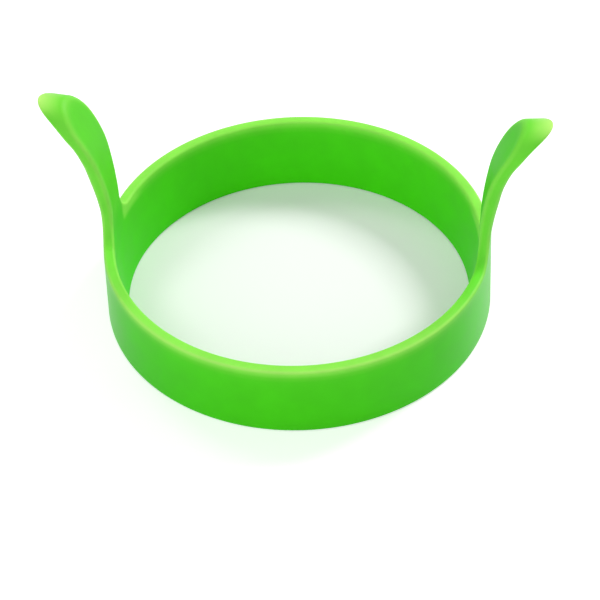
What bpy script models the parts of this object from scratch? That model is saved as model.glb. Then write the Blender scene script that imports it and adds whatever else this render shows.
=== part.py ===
# Egg ring: a moulded silicone ring with two upright handles that flare outwards.
# The moulding is divided where its handles bend: a ring wall with two low roots, and two handles.
# Units are metres, +Z is up, and the origin is the centre of the face that the ring stands on.

import math

import bmesh
import bpy
import numpy as np

# Ring wall
BASE_OUTER_RADIUS = 0.0400
OUTER_DRAFT = 0.0003
WALL_HEIGHT = 0.0160
BASE_WALL = 0.0044
RIM_WALL = 0.0023
RIM_ROUND = 0.0006
BASE_ROUND = 0.0006

# Handle roots: the rim climbs to them in concave flares, and each is cut off flat under its hinge
HINGE_HEIGHT = 0.0230
HINGE_GAP = 0.0003
NECK_HALF_WIDTH = 0.0044
FLARE_WIDTH = 0.0045

# Handles: the top is measured at the inner face, and the end rises from there to its outer lip
HANDLE_TOP = 0.0480
LIP_RISE = 0.0006
NECK_THICKNESS = 0.0025
INNER_LEAN = 0.0078
OUTER_LEAN = 0.0118
BLADE_HALF_WIDTH = 0.0058
BLADE_END_RISE = 0.0063
HANDLE_ROUND = 0.0008
LIP_ROUND = 0.0014

# Side view of a blade: heights above the hinge as shares of the blade's length, and how far its
# inner and outer faces have leaned out there, as shares of their whole lean
SIDE_HEIGHT_SHARES = (0.0, 0.12, 0.32, 0.53, 0.71, 0.87, 1.0)
INNER_LEAN_SHARES = (0.0, 0.02, 0.10, 0.24, 0.465, 0.75, 1.0)
OUTER_LEAN_SHARES = (0.0, 0.03, 0.10, 0.19, 0.35, 0.625, 1.0)

# Front view of a blade: heights as shares of the way from the hinge to where the round end starts,
# and how much of the way from neck width to blade width has been gained there
FRONT_HEIGHT_SHARES = (0.0, 0.25, 0.50, 0.75, 1.0)
FRONT_GAIN_SHARES = (0.0, 0.06, 0.38, 0.80, 1.0)

# Silicone, as a linear colour
SILICONE_COLOR = (0.13, 0.62, 0.045, 1.0)
SILICONE_ROUGHNESS = 0.42

# Fineness: steps in each stretch of an outline, and the distance at which its points are welded
RIM_STEPS = 22
FLARE_STEPS = 10
ROUND_STEPS = 4
END_STEPS = 14
FOOT_STEPS = 5
SPAN_STEPS = 4
WELD_DISTANCE = 0.00001
SHARP_ANGLE = math.radians(50)

RIM_OUTER_RADIUS = BASE_OUTER_RADIUS - OUTER_DRAFT
ROOT_TOP = HINGE_HEIGHT - NECK_THICKNESS / 2 - HINGE_GAP
HINGE_RADIUS = RIM_OUTER_RADIUS - RIM_WALL / 2


def clear_scene():
    for obj in list(bpy.data.objects):
        bpy.data.objects.remove(obj, do_unlink=True)


def silicone(name):
    material = bpy.data.materials.new(name)
    material.use_nodes = True
    shader = material.node_tree.nodes["Principled BSDF"]
    shader.inputs["Base Color"].default_value = SILICONE_COLOR
    shader.inputs["Roughness"].default_value = SILICONE_ROUGHNESS
    shader.inputs["Metallic"].default_value = 0.0
    return material


# Points on a stretch of an ellipse, both ends included, with angles in degrees
def arc(centre, radii, start, end, steps):
    angles = np.radians(np.linspace(start, end, steps + 1))
    return np.stack((centre[0] + radii[0] * np.cos(angles), centre[1] + radii[1] * np.sin(angles)), axis=1)


# A Catmull-Rom curve through the given points, whose ends are repeated
def smooth(points):
    padded = np.concatenate((points[:1], points, points[-1:]))
    before, start, end, after = padded[:-3], padded[1:-2], padded[2:-1], padded[3:]
    curve = []
    for t in np.arange(SPAN_STEPS) / SPAN_STEPS:
        curve.append((
            2 * start
            + (end - before) * t
            + (2 * before - 5 * start + 4 * end - after) * t ** 2
            + (3 * start - before - 3 * end + after) * t ** 3
        ) / 2)
    spans = np.stack(curve, axis=1).reshape(-1, 2)
    return np.concatenate((spans, points[-1:]))


# Unit normals on the right of an outline's direction, which is its solid side
def inward(outline):
    runs = np.diff(outline, axis=0)
    runs /= np.linalg.norm(runs, axis=1, keepdims=True)
    along = np.concatenate((runs[:1], runs[:-1] + runs[1:], runs[-1:]))
    along /= np.linalg.norm(along, axis=1, keepdims=True)
    return np.stack((along[:, 1], -along[:, 0]), axis=1)


# A quarter-round edge of unit radius, from the face to the edge: how far each step is set in from the
# outline, and how deep it lies under the face
def quarter_round():
    turn = np.linspace(0.0, math.pi / 2, ROUND_STEPS + 1)
    return list(zip(1 - np.sin(turn), 1 - np.cos(turn)))


# A loft: rows of points with quads between neighbouring rows, the last row joined to the first if closed
def skin(name, rows, closed, collection):
    shape = bmesh.new()
    grid = [[shape.verts.new(point) for point in row] for row in rows]
    pairs = list(zip(grid, grid[1:]))
    if closed:
        pairs.append((grid[-1], grid[0]))
    for row, next_row in pairs:
        for column in range(len(row) - 1):
            shape.faces.new((row[column], row[column + 1], next_row[column + 1], next_row[column]))
    bmesh.ops.remove_doubles(shape, verts=shape.verts, dist=WELD_DISTANCE)
    mesh = bpy.data.meshes.new(name)
    shape.to_mesh(mesh)
    shape.free()
    mesh.shade_smooth()
    mesh.set_sharp_from_angle(angle=SHARP_ANGLE)
    obj = bpy.data.objects.new(name, mesh)
    collection.objects.link(obj)
    obj.data.materials.append(silicone("green_silicone_" + name))
    return obj


def add_mirror(obj, across_x, across_y):
    mirror = obj.modifiers.new("other_side", "MIRROR")
    mirror.use_axis = (across_x, across_y, False)
    mirror.merge_threshold = WELD_DISTANCE


# The top line of a quarter of the wall, unrolled: distances along the rim from the middle of a root,
# and heights. It crosses the root's flat top, turns its corner, falls in the flare and follows the rim.
def crown_line():
    corner_height = ROOT_TOP - RIM_ROUND
    flare_end = NECK_HALF_WIDTH + FLARE_WIDTH
    corner = arc((NECK_HALF_WIDTH - RIM_ROUND, corner_height), (RIM_ROUND, RIM_ROUND), 90, 0, ROUND_STEPS)
    fall = corner_height - WALL_HEIGHT
    flare = arc((flare_end, corner_height), (FLARE_WIDTH, fall), 180, 270, FLARE_STEPS)
    along_rim = np.linspace(flare_end, RIM_OUTER_RADIUS * math.pi / 2, RIM_STEPS + 1)
    rim = np.stack((along_rim, np.full(RIM_STEPS + 1, WALL_HEIGHT)), axis=1)
    return np.concatenate(([(0.0, ROOT_TOP)], corner, flare[1:], rim[1:]))


# A row of points on the outer or inner face of the wall, or at a depth under that face
def wall_row(along, heights, outer, depth):
    levels = (0.0, WALL_HEIGHT)
    if outer:
        radii = np.interp(heights, levels, (BASE_OUTER_RADIUS, RIM_OUTER_RADIUS)) - depth
    else:
        base_inner = BASE_OUTER_RADIUS - BASE_WALL
        rim_inner = RIM_OUTER_RADIUS - RIM_WALL
        radii = np.interp(heights, levels, (base_inner, rim_inner)) + depth
    angles = along / RIM_OUTER_RADIUS
    return np.stack((radii * np.cos(angles), radii * np.sin(angles), heights), axis=1)


# A quarter of the wall, mirrored both ways. Its rounded top follows the crown line, and its faces run
# from there down to the base, where the points under the root are spread out evenly.
def make_ring_wall(collection):
    crown = crown_line()
    normals = inward(crown)
    flare_end = NECK_HALF_WIDTH + FLARE_WIDTH
    under_root = crown[:, 0] <= flare_end + WELD_DISTANCE
    below = crown[:, 0].copy()
    below[under_root] = np.linspace(0.0, flare_end, np.count_nonzero(under_root))
    level = np.full(len(crown), WALL_HEIGHT - 2 * RIM_ROUND)

    crown_rows = {}
    base_rows = {}
    for outer in (True, False):
        crown_rows[outer] = []
        base_rows[outer] = []
        for inset, depth in quarter_round():
            edge = crown + normals * inset * RIM_ROUND
            crown_rows[outer].append(wall_row(edge[:, 0], edge[:, 1], outer, depth * RIM_ROUND))
            lift = np.full(len(crown), inset * BASE_ROUND)
            base_rows[outer].append(wall_row(below, lift, outer, depth * BASE_ROUND))

    rows = crown_rows[True] + crown_rows[False][::-1]
    rows += [wall_row(below, level, False, 0.0)]
    rows += base_rows[False] + base_rows[True][::-1]
    rows += [wall_row(below, level, True, 0.0)]
    wall = skin("ring_wall", rows, True, collection)
    add_mirror(wall, True, True)
    return wall


# Half of a handle's front outline about its hinge, from the middle of its top down to its foot
def handle_outline():
    foot = NECK_THICKNESS / 2
    shoulder = HANDLE_TOP - HINGE_HEIGHT - BLADE_END_RISE
    gain = BLADE_HALF_WIDTH - NECK_HALF_WIDTH
    end = arc((0.0, shoulder), (BLADE_HALF_WIDTH, BLADE_END_RISE), 90, 0, END_STEPS)
    widths = NECK_HALF_WIDTH + gain * np.array(FRONT_GAIN_SHARES)
    side = smooth(np.stack((widths, shoulder * np.array(FRONT_HEIGHT_SHARES)), axis=1))[::-1]
    foot_heights = foot * np.sin(np.linspace(0.0, -math.pi / 2, FOOT_STEPS + 1))
    foot_side = np.stack((np.full(FOOT_STEPS + 1, NECK_HALF_WIDTH), foot_heights), axis=1)
    return np.concatenate((end, side[1:], foot_side[1:]))


# Where a handle's inner and outer faces lie at the given heights, measured from its hinge. Above the
# hinge they lean out unequally, so the blade thickens to a wedge, and below it they close in a half round.
def handle_faces(heights):
    half = NECK_THICKNESS / 2
    length = HANDLE_TOP - HINGE_HEIGHT
    levels = length * np.array(SIDE_HEIGHT_SHARES)
    inner = smooth(np.stack((levels, INNER_LEAN * np.array(INNER_LEAN_SHARES)), axis=1))
    outer = smooth(np.stack((levels, OUTER_LEAN * np.array(OUTER_LEAN_SHARES)), axis=1))
    reach = np.sqrt(np.clip(half ** 2 - np.minimum(heights, 0.0) ** 2, 0.0, None))
    return (
        np.interp(heights, inner[:, 0], inner[:, 1]) - reach,
        np.interp(heights, outer[:, 0], outer[:, 1]) + reach,
    )


# How far up the blade's round end a height lies: 0 where the end starts, 1 at the top, with soft ends
def end_rise(heights):
    shoulder = HANDLE_TOP - HINGE_HEIGHT - BLADE_END_RISE
    rise = np.clip((heights - shoulder) / BLADE_END_RISE, 0.0, 1.0)
    return rise ** 2 * (3 - 2 * rise)


# A row of points of a handle's rounded edge: set in from the outline, at a depth under the outer or inner
# face, and lifted over the round end, the more the nearer it lies to the outer face
def edge_row(outline, insets, depths, on_outer):
    edge = outline + insets
    inner, outer = handle_faces(edge[:, 1])
    places = outer - depths if on_outer else inner + depths
    across = (places - inner) / np.maximum(outer - inner, WELD_DISTANCE)
    lift = LIP_RISE * across * end_rise(edge[:, 1])
    return np.stack((places, edge[:, 0], edge[:, 1] + lift), axis=1)


# Half of a handle, mirrored at its middle: from the middle of the outer face to the middle of the
# inner face, over an edge whose rounding thins out with the foot and grows towards the outer lip
def make_handle(name, side, collection):
    outline = handle_outline()
    across_middle = outline[1:2] * (-1, 1)
    normals = inward(np.concatenate((across_middle, outline)))[1:]
    inner, outer = handle_faces(outline[:, 1])
    inner_round = np.minimum(HANDLE_ROUND, (outer - inner) / 2)
    outer_round = inner_round + (LIP_ROUND - HANDLE_ROUND) * end_rise(outline[:, 1])

    outer_rows = []
    inner_rows = []
    for inset, depth in quarter_round():
        outer_insets = normals * (inset * outer_round)[:, None]
        inner_insets = normals * (inset * inner_round)[:, None]
        outer_rows.append(edge_row(outline, outer_insets, depth * outer_round, True))
        inner_rows.append(edge_row(outline, inner_insets, depth * inner_round, False))
    to_middle = np.array((1, 0, 1))
    rows = [outer_rows[0] * to_middle] + outer_rows + inner_rows[::-1] + [inner_rows[0] * to_middle]

    handle = skin(name, rows, False, collection)
    add_mirror(handle, False, True)
    handle.location = (side * HINGE_RADIUS, 0.0, HINGE_HEIGHT)
    handle.rotation_euler = (0.0, 0.0, 0.0 if side > 0 else math.pi)
    return handle


clear_scene()
part_collection = bpy.data.collections.new("egg_ring")
bpy.context.scene.collection.children.link(part_collection)
make_ring_wall(part_collection)
make_handle("right_handle", 1, part_collection)
make_handle("left_handle", -1, part_collection)
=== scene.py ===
import math

import bmesh
import bpy
import numpy as np
from mathutils import Matrix, Vector


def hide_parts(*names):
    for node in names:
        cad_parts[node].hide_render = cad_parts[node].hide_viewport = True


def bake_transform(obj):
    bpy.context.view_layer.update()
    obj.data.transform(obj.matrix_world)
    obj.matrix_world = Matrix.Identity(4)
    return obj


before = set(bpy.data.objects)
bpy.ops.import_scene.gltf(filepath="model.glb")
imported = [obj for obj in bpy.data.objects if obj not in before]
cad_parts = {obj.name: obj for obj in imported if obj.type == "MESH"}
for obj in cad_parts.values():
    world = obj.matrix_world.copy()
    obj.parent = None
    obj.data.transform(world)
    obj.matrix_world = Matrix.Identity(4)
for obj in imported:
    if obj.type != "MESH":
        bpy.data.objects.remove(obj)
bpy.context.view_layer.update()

print("egg ring: the packed model is loaded")

# Helpers for colours and nodes


def hexToLinear(code):
    # each channel of an sRGB hex value, turned to linear light
    channels = np.array([int(code[i:i + 2], 16) for i in (1, 3, 5)]) / 255
    linear = np.where(channels <= 0.04045, channels / 12.92, ((channels + 0.055) / 1.055) ** 2.4)
    return (*(float(c) for c in linear), 1.0)


def addNode(tree, kind, settings=None, inputs=None):
    # adds one node, sets its properties, then sets or links its inputs: a value that is a socket is linked
    node = tree.nodes.new(kind)
    for name, value in (settings or {}).items():
        setattr(node, name, value)
    for key, value in (inputs or {}).items():
        if isinstance(value, bpy.types.NodeSocket):
            tree.links.new(value, node.inputs[key])
        else:
            node.inputs[key].default_value = value
    return node


def newMaterial(name):
    material = bpy.data.materials.new(name)
    material.use_nodes = True
    material.node_tree.nodes.clear()
    return material


# The moulding: one skin of silicone from the wall's base up through the rim, the flares and the handles

moulding = {
    "rimRadius": 0.0397,
    "wallHeight": 0.0160,
    "rimRound": 0.0006,
    "baseRound": 0.0006,
    "edgeRound": 0.0010,        # rounding of the handles' edges
    "edgeFrom": 0.0160,         # heights between which the rim's rounding grows to that of the edges
    "edgeTo": 0.0240,
    "lipRound": 0.0014,         # rounding of the outer lip at the handles' ends
    "lipRise": 0.0006,          # the outer lip lies this much higher than the end's inner edge
    "neckHalfWidth": 0.0044,
    "neckHeight": 0.0225,       # where the flares end and the handle's own sides begin
    "flareWidth": 0.0045,
    "handleTop": 0.0480,
    "bladeHalfWidth": 0.0058,
    "bladeEndRise": 0.0063,
    # a height, and the distances of the outer and the inner face from the middle of the ring there
    "faces": (
        (0.00000, 0.04000, 0.03560),
        (0.00800, 0.03985, 0.03650),
        (0.01600, 0.03970, 0.03740),
        (0.02000, 0.03968, 0.03740),
        (0.02300, 0.03980, 0.03730),
        (0.02600, 0.04013, 0.03746),
        (0.03100, 0.04095, 0.03808),
        (0.03625, 0.04204, 0.03917),
        (0.04075, 0.04394, 0.04093),
        (0.04475, 0.04718, 0.04315),
        (0.04800, 0.05160, 0.04510),
    ),
    "flatFrom": 0.0160,         # the faces follow the ring's curve up to here
    "flatTo": 0.0270,           # and are flat from side to side above here
    # half width of the handle's front outline, as shares of the way up to its round end
    "sideShares": (0.0, 0.12, 0.35, 0.62, 0.85, 1.0),
    "widthShares": (0.0, 0.02, 0.28, 0.70, 0.95, 1.0),
    "rimColumns": 84,           # columns along a quarter of the rim
    "rootColumns": 28,          # columns across a root and its handle
    "flareSteps": 18,
    "sideSteps": 40,
    "endSteps": 26,
    "roundSteps": 8,
    "wallRows": 14,
    "baseRows": 6,
    "weldDistance": 2e-6,       # points nearer than this become one
    "shortestEdge": 1e-7,       # and edges shorter than this are dissolved
}


def smoothCurve(x, knots, values):
    # a cubic between each pair of knots, whose slopes at the knots are the mean slopes of their neighbours
    knots, values = np.asarray(knots), np.asarray(values)
    slopes = np.gradient(values, knots)
    i = np.clip(np.searchsorted(knots, x) - 1, 0, len(knots) - 2)
    span = knots[i + 1] - knots[i]
    t = np.clip((x - knots[i]) / span, 0, 1)
    return (
        values[i] * (2 * t**3 - 3 * t**2 + 1)
        + slopes[i] * span * (t**3 - 2 * t**2 + t)
        + values[i + 1] * (3 * t**2 - 2 * t**3)
        + slopes[i + 1] * span * (t**3 - t**2)
    )


def smoothStep(x, low, high):
    # 0 up to low, 1 from high on, and between them three squares less two cubes of the share of the way
    t = np.clip((x - low) / (high - low), 0, 1)
    return t * t * (3 - 2 * t)


def between(first, second, share):
    # the first value where the share is 0, the second where it is 1, and in a straight line between them
    return first + (second - first) * share


def ellipseArc(centre, radii, start, end, steps):
    # the centre plus the radii times the cosine and the sine, from one angle to another in degrees
    angle = np.radians(np.linspace(start, end, steps + 1))
    return np.stack((centre[0] + radii[0] * np.cos(angle), centre[1] + radii[1] * np.sin(angle)), axis=-1)


def crownOutline(m):
    # the top edge of half the wall, unrolled: from the middle of the handle's end round its half ellipse,
    # down its side, out in a quarter-ellipse flare, and along the rim for a quarter of the ring
    shoulder = m["handleTop"] - m["bladeEndRise"]
    end = ellipseArc((0, shoulder), (m["bladeHalfWidth"], m["bladeEndRise"]), 90, 0, m["endSteps"])
    share = np.linspace(1, 0, m["sideSteps"] + 1)
    gain = smoothCurve(share, m["sideShares"], m["widthShares"])
    width = between(m["neckHalfWidth"], m["bladeHalfWidth"], gain)
    side = np.stack((width, between(m["neckHeight"], shoulder, share)), axis=-1)
    flareEnd = m["neckHalfWidth"] + m["flareWidth"]
    fall = m["neckHeight"] - m["wallHeight"]
    flare = ellipseArc((flareEnd, m["neckHeight"]), (m["flareWidth"], fall), 180, 270, m["flareSteps"])
    along = np.linspace(flareEnd, m["rimRadius"] * math.pi / 2, m["rimColumns"] + 1)
    rim = np.stack((along, np.full_like(along, m["wallHeight"])), axis=-1)
    return np.concatenate((end, side[1:], flare[1:])), rim[1:]


def solidSide(outline):
    # unit normals on the right of the outline's direction, where the silicone is
    runs = np.diff(outline, axis=0)
    runs /= np.linalg.norm(runs, axis=1, keepdims=True)
    along = np.concatenate((runs[:1], runs[:-1] + runs[1:], runs[-1:]))
    along /= np.linalg.norm(along, axis=1, keepdims=True)
    return np.stack((along[:, 1], -along[:, 0]), axis=-1)


def endRise(m, height):
    # 0 where the handle's round end starts, 1 at its top
    return smoothStep(height, m["handleTop"] - m["bladeEndRise"], m["handleTop"])


def onFace(m, along, height, outer, depth=0.0):
    # a point of a face, or at a depth under it: its distance from the middle follows the face's curve, and
    # its place along the rim is an angle low down and a straight distance higher up; over the round end it
    # is lifted, the more the nearer it lies to the outer face. The place on the unrolled wall goes with it:
    # along the rim, up, the depth under the face, and 1 for the outer face
    depth = depth + 0 * height
    faceHeights, outerFace, innerFace = np.transpose(m["faces"])
    outerReach = smoothCurve(height, faceHeights, outerFace)
    innerReach = smoothCurve(height, faceHeights, innerFace)
    reach = outerReach - depth if outer else innerReach + depth
    lift = m["lipRise"] * endRise(m, height) * (reach - innerReach) / (outerReach - innerReach)
    angle = along / m["rimRadius"]
    flat = smoothStep(height, m["flatFrom"], m["flatTo"])
    x = reach * (np.cos(angle) * (1 - flat) + flat)
    y = reach * np.sin(angle) * (1 - flat) + along * flat
    return np.stack((x, y, height + lift, along, height, depth, outer + 0 * height), axis=-1)


def mouldingGrids(m):
    # every part of the right half's skin, as grids of points and of their places on the unrolled wall
    handle, rim = crownOutline(m)
    count = len(handle)
    outline = np.concatenate((handle, rim))
    mirrored = outline[1:2] * (-1, 1)
    normals = solidSide(np.concatenate((mirrored, outline)))[1:]
    turn = np.linspace(0, math.pi / 2, m["roundSteps"] + 1)[:, None]
    across = np.linspace(-1, 1, m["rootColumns"] + 1)
    drop = np.linspace(0, 1, m["wallRows"] + 1)[:, None]
    otherSide = (1, -1, 1, -1, 1, 1, 1)         # turns round y and the place along the rim
    innerRound = between(m["rimRound"], m["edgeRound"], smoothStep(outline[:, 1], m["edgeFrom"], m["edgeTo"]))
    outerRound = innerRound + (m["lipRound"] - m["edgeRound"]) * endRise(m, outline[:, 1])
    grids, crests, footings = [], [], []
    for outer, rounding in ((True, outerRound), (False, innerRound)):
        # the rounded edge: a quarter circle from the outline's face edge to its crest
        edge = outline[None] + normals[None] * ((1 - np.sin(turn)) * rounding)[..., None]
        band = onFace(m, edge[..., 0], edge[..., 1], outer, (1 - np.cos(turn)) * rounding)
        band = np.concatenate((band[:, ::-1] * otherSide, band[:, 1:]), axis=1)
        crests.append(band[-1])

        # the face of the handle and its root: rungs from side to side, at the heights of the rounded edge
        inset = edge[0]
        height = np.repeat(inset[:count, 1][:, None], len(across), axis=1)
        blade = onFace(m, inset[:count, 0][:, None] * across, height, outer)

        # the wall's face, from the rounded rim and the foot of the root down to the rounding of the base
        rimAlong, rimTop = inset[count:].T
        rootAlong, rootTop = inset[count - 1]
        columns = np.concatenate((-rimAlong[::-1], rootAlong * across, rimAlong))
        tops = np.concatenate((rimTop[::-1], np.full(len(across), rootTop), rimTop))
        height = tops * (1 - drop) + m["baseRound"] * drop
        wall = onFace(m, np.broadcast_to(columns, height.shape), height, outer)

        # the rounding of the base
        lift = (1 - np.sin(turn)) * m["baseRound"] + 0 * columns
        depth = (1 - np.cos(turn)) * m["baseRound"] + 0 * columns
        foot = onFace(m, np.broadcast_to(columns, lift.shape), lift, outer, depth)
        footings.append(foot[-1])
        grids += [band, blade, wall, foot]

    # the crest between the two rounded edges, and the flat that the ring stands on
    share = np.linspace(0, 1, m["baseRows"] + 1)[:, None, None]
    return grids + [np.stack(crests), footings[0] * (1 - share) + footings[1] * share]


def gridFaces(rows, columns, first):
    # quads of a grid of points, as indices
    index = first + np.arange(rows * columns).reshape(rows, columns)
    return np.stack((index[:-1, :-1], index[:-1, 1:], index[1:, 1:], index[1:, :-1]), axis=-1).reshape(-1, 4)


# Painted light in the colour: a painted glow for light that soaks through thin silicone and falls on the rim's
# top, and a painted highlight line along the edges; reaches in metres, and shares

glow = {
    "glowReach": 0.0014,        # how far the painted glow runs down from the rim and the handles' edges
    "soakShare": 0.12,          # a fainter painted glow under it, for light soaking into the wall
    "soakReach": 0.0045,        # and how far that runs down the wall
    "endGlow": 0.20,            # how much paler the handles' ends are painted than their sides
    "rimFrom": 0.008,           # distances along the rim between which the painted glow grows full, out of the handles' painted shade: where that starts, and where it ends in the front half and in the rear half, where the lamps shine through it
    "frontTo": 0.034,           # starts, and where it ends in the front half
    "rearTo": 0.013,            # and in the rear half, where the lamps shine through it
    # the rear flares get a painted glow too, for the lamps behind them: from the handle's edge outwards, to
    # some way along the rim, and down to a height of the wall, each fading between two distances
    "rootEdge": (0.0040, 0.0054),
    "rootEnd": (0.0110, 0.0180),
    "rootDepth": (0.0133, 0.0147),
    "highlightReach": 0.00042,     # half width of the painted highlight line along the rim's edges
    "handleHighlight": 0.00090,    # and along the handles' edges
    "innerLine": 0.30,          # strength of the painted highlight line along the rim's inner edge, beside 1 for its outer edge
    "endFade": 0.70,            # how much of the painted highlight line is gone at the handles' ends
    "lipFrom": 0.0474,          # the outer lip is painted glowing from this distance from the middle outwards
    "lipTo": 0.0520,
}


def glowValues(m, g, half, points, places):
    # the painted light on each point. The painted glow, how far the colour pales for light through thin rubber
    # and on the rim's top: 1 at the crown of the rim and less by the handles, in their shade, falling in a
    # bell curve with the distance to the open edge; to that come a fainter, longer fall down the wall and the
    # painted glow of the rear
    # flares. The painted highlight line: 1 on the corner between a face and the crest, in a bell curve too.
    # The lip's painted glow rises out to the lip of the handle. outside: 1 on the outer face, 0 on the inner
    # one
    along, height, depth, outer = places.T
    outline = np.concatenate(crownOutline(m))
    gap = np.min(np.hypot(
        np.abs(along)[:, None] - outline[:, 0], height[:, None] - outline[:, 1],
    ), axis=1)
    onHandle = smoothStep(height, m["wallHeight"], m["neckHeight"])
    onEnd = endRise(m, height)
    onRim = smoothStep(np.abs(along), g["rimFrom"], np.where(along > 0, g["rearTo"], g["frontTo"]))

    # painted glow, strongest at the crown of the rim, weaker by the handles in their painted shade
    strength = between(half["flareGlow"], half["sideGlow"], onHandle) + g["endGlow"] * onEnd
    strength = between(strength, 1, onRim)
    faceGlow = half["faceGlow"] * onHandle
    paintedGlow = between(faceGlow, strength, np.exp(-((gap / g["glowReach"]) ** 2)))
    paintedGlow = np.maximum(faceGlow, paintedGlow)
    paintedGlow += g["soakShare"] * (1 - paintedGlow) * (1 - onHandle) * np.exp(-gap / g["soakReach"])
    # the painted glow of the rear flares, where the lamps behind shine through
    rootGlow = smoothStep(along, *g["rootEdge"]) * (1 - smoothStep(along, *g["rootEnd"]))
    paintedGlow = np.maximum(paintedGlow, rootGlow * smoothStep(height, *g["rootDepth"]))

    # the painted highlight line along the rounded edges
    flareLine = between(half["flareLine"], half["frontLine"], outer * (along < 0))
    line = between(flareLine, half["sideLine"], onHandle)
    line = between(line, 1, onRim)
    line *= (1 - g["endFade"] * onEnd) * (1 - (1 - g["innerLine"]) * onRim * (1 - outer))
    highlightReach = between(g["highlightReach"], g["handleHighlight"], onHandle)
    paintedHighlight = np.exp(-(gap**2 + depth**2) / highlightReach**2) * line

    # painted glow at the handles' outer lips
    lipGlow = smoothStep(np.abs(points[:, 0]), g["lipFrom"], g["lipTo"]) * onEnd
    return {"paintedGlow": paintedGlow, "paintedHighlight": paintedHighlight, "lipGlow": lipGlow, "outside": outer}


def buildMoulding(name, half):
    # one half of the moulding: all grids as one mesh, mirrored for the left, with the painted glow and
    # highlight on its points
    grids = mouldingGrids(moulding)
    faces, first = [], 0
    for grid in grids:
        faces.append(gridFaces(*grid.shape[:2], first))
        first += grid.shape[0] * grid.shape[1]
    table = np.concatenate([grid.reshape(-1, grid.shape[-1]) for grid in grids])
    points, places = table[:, :3], table[:, 3:]
    mesh = bpy.data.meshes.new(name)
    mesh.from_pydata(points * (half["mirror"], 1, 1), [], np.concatenate(faces))
    for key, values in glowValues(moulding, glow, half, points, places).items():
        mesh.attributes.new(key, "FLOAT", "POINT").data.foreach_set("value", values.astype(np.float32))

    # weld the grids, close the cut in the middle of the ring, and turn every face outwards
    shape = bmesh.new()
    shape.from_mesh(mesh)
    bmesh.ops.remove_doubles(shape, verts=shape.verts, dist=moulding["weldDistance"])
    bmesh.ops.dissolve_degenerate(shape, edges=shape.edges, dist=moulding["shortestEdge"])
    openEdges = [edge for edge in shape.edges if edge.is_boundary]
    caps = bmesh.ops.holes_fill(shape, edges=openEdges, sides=0)["faces"]
    bmesh.ops.recalc_face_normals(shape, faces=shape.faces)
    for face in shape.faces:
        face.smooth = True
    for cap in caps:
        cap.smooth = False
        for edge in cap.edges:
            edge.smooth = False
    print(f"{name}: {len(shape.verts)} points, {len(caps)} caps, "
          f"{sum(edge.is_boundary or not edge.is_manifold for edge in shape.edges)} open edges")
    shape.to_mesh(mesh)
    shape.free()
    piece = bpy.data.objects.new(name, mesh)
    bpy.context.scene.collection.objects.link(piece)
    return piece


# Silicone rubber, compression moulded in a satin steel mould: an even, slightly matt gloss, a fine tooth
# in the surface, and painted light in its colour: a painted glow that pales and yellows its thin edges, and a
# painted highlight line along them

silicone = {
    "wall": "#44D406",
    "rim": "#88EA4B",           # painted glow: light through the thin rubber and on the rim's lit top
    "paintedHighlight": "#BEFF7C",        # the painted highlight line along the edges
    "lip": "#D0FF84",           # the painted glow of the handles' outer lips
    "highlightShare": 0.85,        # how far the painted highlight line goes to its own colour
    "cloudSize": 0.006,         # metres across the faint clouds of pigment
    "cloudRange": (0.3, 0.7),   # the part of their noise that is used
    "cloudValue": (0.96, 1.04),         # how much they darken and lighten the colour
    "cloudRoughness": (-0.04, 0.05),    # and change the roughness
    "roughness": 0.46,
    "ior": 1.41,
    "specular": 0.15,           # below the plain 0.5 because the mould's tooth scatters most of the gloss
    "sheenInside": 0.00,        # the powdery paleness of silicone at a grazing view: the mould's polished
    "sheenOutside": 0.36,       # core leaves none inside, its cavity more of it outside
    "sheenRoughness": 0.35,
    # metres from grain to grain of the mould's satin, and their height: a real satin is about five times
    # finer, too fine to show, so this is as coarse as it needs to be to show
    "tooth": 0.00022,
    "toothDepth": 0.00003,
    "toothStrength": 0.12,
}


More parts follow.
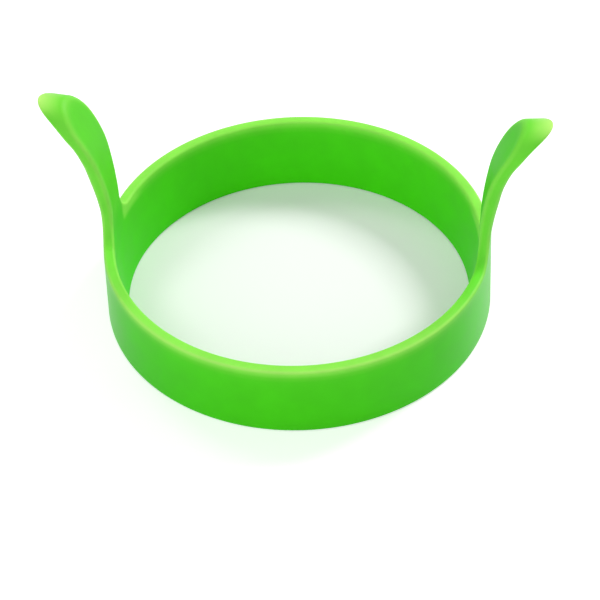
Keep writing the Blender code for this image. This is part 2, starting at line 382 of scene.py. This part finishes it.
def siliconeMaterial(s):
    material = newMaterial("moulded silicone rubber")
    tree = material.node_tree
    place = addNode(tree, "ShaderNodeTexCoord").outputs["Object"]
    paintedGlow, paintedHighlight, lipGlow, outside = (
        addNode(tree, "ShaderNodeAttribute", {"attribute_name": key}).outputs["Fac"]
        for key in ("paintedGlow", "paintedHighlight", "lipGlow", "outside")
    )
    # how much of the painted highlight line shows
    line = addNode(tree, "ShaderNodeMath", {"operation": "MULTIPLY"}, {0: paintedHighlight, 1: s["highlightShare"]})
    # the wall's colour, changed in turn to the painted glow, the painted highlight line and the lip's painted
    # glow;
    # 6 and 7 are the Mix node's two colours, and its output 2 is their mixture
    colour = hexToLinear(s["wall"])
    for share, key in ((paintedGlow, "rim"), (line.outputs[0], "paintedHighlight"), (lipGlow, "lip")):
        mixed = addNode(tree, "ShaderNodeMix", {"data_type": "RGBA"}, {
            0: share, 6: colour, 7: hexToLinear(s[key]),
        })
        colour = mixed.outputs[2]
    # pigment clouds a few millimetres wide, so faint that they only take the edge off a flat colour
    clouds = addNode(tree, "ShaderNodeTexNoise", None, {
        "Vector": place, "Scale": 1 / s["cloudSize"], "Detail": 3.0, "Roughness": 0.5,
    })
    strength, matt = (
        addNode(tree, "ShaderNodeMapRange", None, {
            "Value": clouds.outputs["Fac"],
            "From Min": s["cloudRange"][0], "From Max": s["cloudRange"][1], "To Min": low, "To Max": high,
        }).outputs["Result"]
        for low, high in (s["cloudValue"], [s["roughness"] + change for change in s["cloudRoughness"]])
    )
    clouded = addNode(tree, "ShaderNodeHueSaturation", None, {"Color": colour, "Value": strength})
    sheen = addNode(tree, "ShaderNodeMapRange", None, {
        "Value": outside, "To Min": s["sheenInside"], "To Max": s["sheenOutside"],
    })
    grain = addNode(tree, "ShaderNodeTexNoise", None, {
        "Vector": place, "Scale": 1 / s["tooth"], "Detail": 2.0, "Roughness": 0.6,
    })
    tooth = addNode(tree, "ShaderNodeBump", None, {
        "Strength": s["toothStrength"], "Distance": s["toothDepth"], "Height": grain.outputs["Fac"],
    })
    shader = addNode(tree, "ShaderNodeBsdfPrincipled", None, {
        "Base Color": clouded.outputs["Color"], "Roughness": matt, "Metallic": 0.0, "IOR": s["ior"],
        "Specular IOR Level": s["specular"], "Sheen Weight": sheen.outputs["Result"],
        "Sheen Roughness": s["sheenRoughness"], "Normal": tooth.outputs["Normal"],
    })
    addNode(tree, "ShaderNodeOutputMaterial", None, {"Surface": shader.outputs["BSDF"]})
    return material


rubber = siliconeMaterial(silicone)

halves = {
    # how strong the painted glow is on the flares, the handle's sides and its faces, beside 1 for the rest of
    # the rim, and how strong the painted highlight line is along the flares, along their outer edges in front
    # and along the handle's sides; the left half is painted paler, for the light that falls on it from the
    # right lamp
    "moulding_right": {
        "mirror": 1, "grip": "right_grip", "nodes": ("right_handle", "ring_wall"),
        "flareGlow": 0.18, "sideGlow": 0.32, "faceGlow": 0.11,
        "flareLine": 0.25, "frontLine": 0.74, "sideLine": 0.40,
    },
    "moulding_left": {
        "mirror": -1, "grip": "left_grip", "nodes": ("left_handle", "ring_wall"),
        "flareGlow": 0.40, "sideGlow": 0.34, "faceGlow": 0.30,
        "flareLine": 0.60, "frontLine": 0.64, "sideLine": 0.56,
    },
    "bendFrom": 0.0170,         # heights given for a bend of the moulding with its handle
    "bendTo": 0.0290,
    "bendPlace": 0.0385,        # and the distance from the middle for it
}

for name in ("moulding_right", "moulding_left"):
    half = halves[name]
    place = half["mirror"] * halves["bendPlace"]
    piece = buildMoulding(name, half)
    piece.data.materials.append(rubber)
    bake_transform(piece)
    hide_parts(*half["nodes"])
print("egg ring: the moulding is built")

# Studio: a pale floor, soft lamps high on the right and behind, a soft fill in front and a white surround

studio = {
    "floor": "#F4F3F4",
    "floorHalfSide": 1.5,
    "floorPoints": 9,           # points along a side of the floor's grid
    "liftInside": 0.05,         # the camera sees the board this much brighter, inside the ring
    "liftOutside": 0.43,        # round it
    "liftFar": 1.0,             # and far off, where the lamps fade
    "liftChange": (0.0355, 0.0395),     # distances from the middle between which the first becomes the second
    "liftGrowth": (0.10, 0.35),         # and between which the last one grows
    "surround": 0.32,
    "lampAim": 0.01,            # the height in the middle of the ring that the lamps face
    # each lamp's place, size and power
    "lamps": {
        "right lamp": ((0.45, 0.52, 0.62), 0.27, 5.1),
        "back lamp": ((-0.42, 0.50, 0.76), 0.30, 1.6),
        "front fill": ((-0.25, -0.75, 0.60), 1.30, 5.9),
    },
}


def floorMaterial(s):
    # pale matt studio board; seen by the camera it is lifted to white, and it keeps the object's shadow
    material = newMaterial("pale studio board")
    tree = material.node_tree
    rays = addNode(tree, "ShaderNodeLightPath")
    place = addNode(tree, "ShaderNodeTexCoord").outputs["Object"]
    fromMiddle = addNode(tree, "ShaderNodeVectorMath", {"operation": "LENGTH"}, {0: place}).outputs["Value"]
    nearLift, farLift = (
        addNode(tree, "ShaderNodeMapRange", {"interpolation_type": "SMOOTHSTEP"}, {
            "Value": fromMiddle, "From Min": near, "From Max": far, "To Min": low, "To Max": high,
        }).outputs["Result"]
        for (near, far), low, high in (
            (s["liftChange"], s["liftInside"], s["liftOutside"]), (s["liftGrowth"], 0.0, s["liftFar"]),
        )
    )
    lift = addNode(tree, "ShaderNodeMath", {"operation": "MAXIMUM"}, {0: nearLift, 1: farLift})
    seen = addNode(tree, "ShaderNodeMath", {"operation": "MULTIPLY"}, {
        0: lift.outputs["Value"], 1: rays.outputs["Is Camera Ray"],
    })
    board = addNode(tree, "ShaderNodeBsdfDiffuse", None, {"Color": hexToLinear(s["floor"])})
    shine = addNode(tree, "ShaderNodeEmission", None, {"Color": (1, 1, 1, 1), "Strength": seen.outputs[0]})
    both = addNode(tree, "ShaderNodeAddShader", None, {0: board.outputs[0], 1: shine.outputs[0]})
    addNode(tree, "ShaderNodeOutputMaterial", None, {"Surface": both.outputs[0]})
    return material


def buildFloor(s):
    # a grid whose height is zero everywhere
    side = np.linspace(-s["floorHalfSide"], s["floorHalfSide"], s["floorPoints"])
    x, y = np.meshgrid(side, side)
    mesh = bpy.data.meshes.new("studio_floor")
    mesh.from_pydata(np.stack((x, y, 0 * x), axis=-1).reshape(-1, 3), [], gridFaces(*x.shape, 0))
    floor = bpy.data.objects.new("studio_floor", mesh)
    bpy.context.scene.collection.objects.link(floor)
    mesh.materials.append(floorMaterial(s))


def addLamp(name, place, size, power, aim):
    # a square lamp that faces the object
    lamp = bpy.data.lights.new(name, "AREA")
    lamp.size = size
    lamp.energy = power
    holder = bpy.data.objects.new(name, lamp)
    holder.location = place
    holder.rotation_euler = (Vector((0, 0, aim)) - Vector(place)).to_track_quat("-Z", "Y").to_euler()
    bpy.context.scene.collection.objects.link(holder)


def buildSurround(s):
    # an even surround that lights at one strength, and is white to the camera and to reflections
    world = bpy.data.worlds.new("studio surround")
    world.use_nodes = True
    tree = world.node_tree
    tree.nodes.clear()
    rays = addNode(tree, "ShaderNodeLightPath").outputs
    seen = rays["Is Camera Ray"]
    for kind in ("Is Glossy Ray", "Is Transmission Ray"):
        seen = addNode(tree, "ShaderNodeMath", {"operation": "MAXIMUM"}, {0: seen, 1: rays[kind]}).outputs[0]
    strength = addNode(tree, "ShaderNodeMapRange", None, {
        "Value": seen, "To Min": s["surround"], "To Max": 1.0,
    })
    light = addNode(tree, "ShaderNodeBackground", None, {
        "Color": (1, 1, 1, 1), "Strength": strength.outputs["Result"],
    })
    addNode(tree, "ShaderNodeOutputWorld", None, {"Surface": light.outputs[0]})
    bpy.context.scene.world = world


buildFloor(studio)
for name, (place, size, power) in studio["lamps"].items():
    addLamp(name, place, size, power, studio["lampAim"])
buildSurround(studio)
print("egg ring: floor and lamps are set")

# Camera: above the front and a little to the right

camera = {
    "distance": 0.450,          # metres from the middle of the ring
    "elevation": 42.15,
    "azimuth": 8.2,
    "roll": -2.14,
    "focalPixels": 2168.3,      # the focal length in pixels of a 600 pixel wide picture
    "middle": (298.1, 264.7),   # where the middle of the ring lies in the picture
    "width": 600,
    "sensor": 36,
    "clip": (0.01, 20),
}


def buildCamera(c):
    # the camera looks at the middle of the ring, turned by the roll; the shift slides the picture so that
    # the middle lands on its pixel
    elevation, azimuth, roll = (math.radians(c[k]) for k in ("elevation", "azimuth", "roll"))
    middle = Vector((0, 0, moulding["wallHeight"] / 2))
    away = Vector((
        math.cos(elevation) * math.sin(azimuth), -math.cos(elevation) * math.cos(azimuth), math.sin(elevation),
    ))
    lens = bpy.data.cameras.new("camera")
    lens.sensor_width = c["sensor"]
    lens.lens = c["focalPixels"] * c["sensor"] / c["width"]
    lens.shift_x = (c["width"] / 2 - c["middle"][0]) / c["width"]
    lens.shift_y = (c["middle"][1] - c["width"] / 2) / c["width"]
    lens.clip_start, lens.clip_end = c["clip"]
    holder = bpy.data.objects.new("camera", lens)
    level = away.to_track_quat("Z", "Y").to_matrix().to_4x4()
    stand = Matrix.Translation(middle + away * c["distance"]) @ level
    holder.matrix_world = stand @ Matrix.Rotation(roll, 4, "Z")
    bpy.context.scene.collection.objects.link(holder)
    bpy.context.scene.camera = holder


buildCamera(camera)
bpy.context.scene.view_settings.view_transform = "Standard"
print("egg ring: the camera is set")
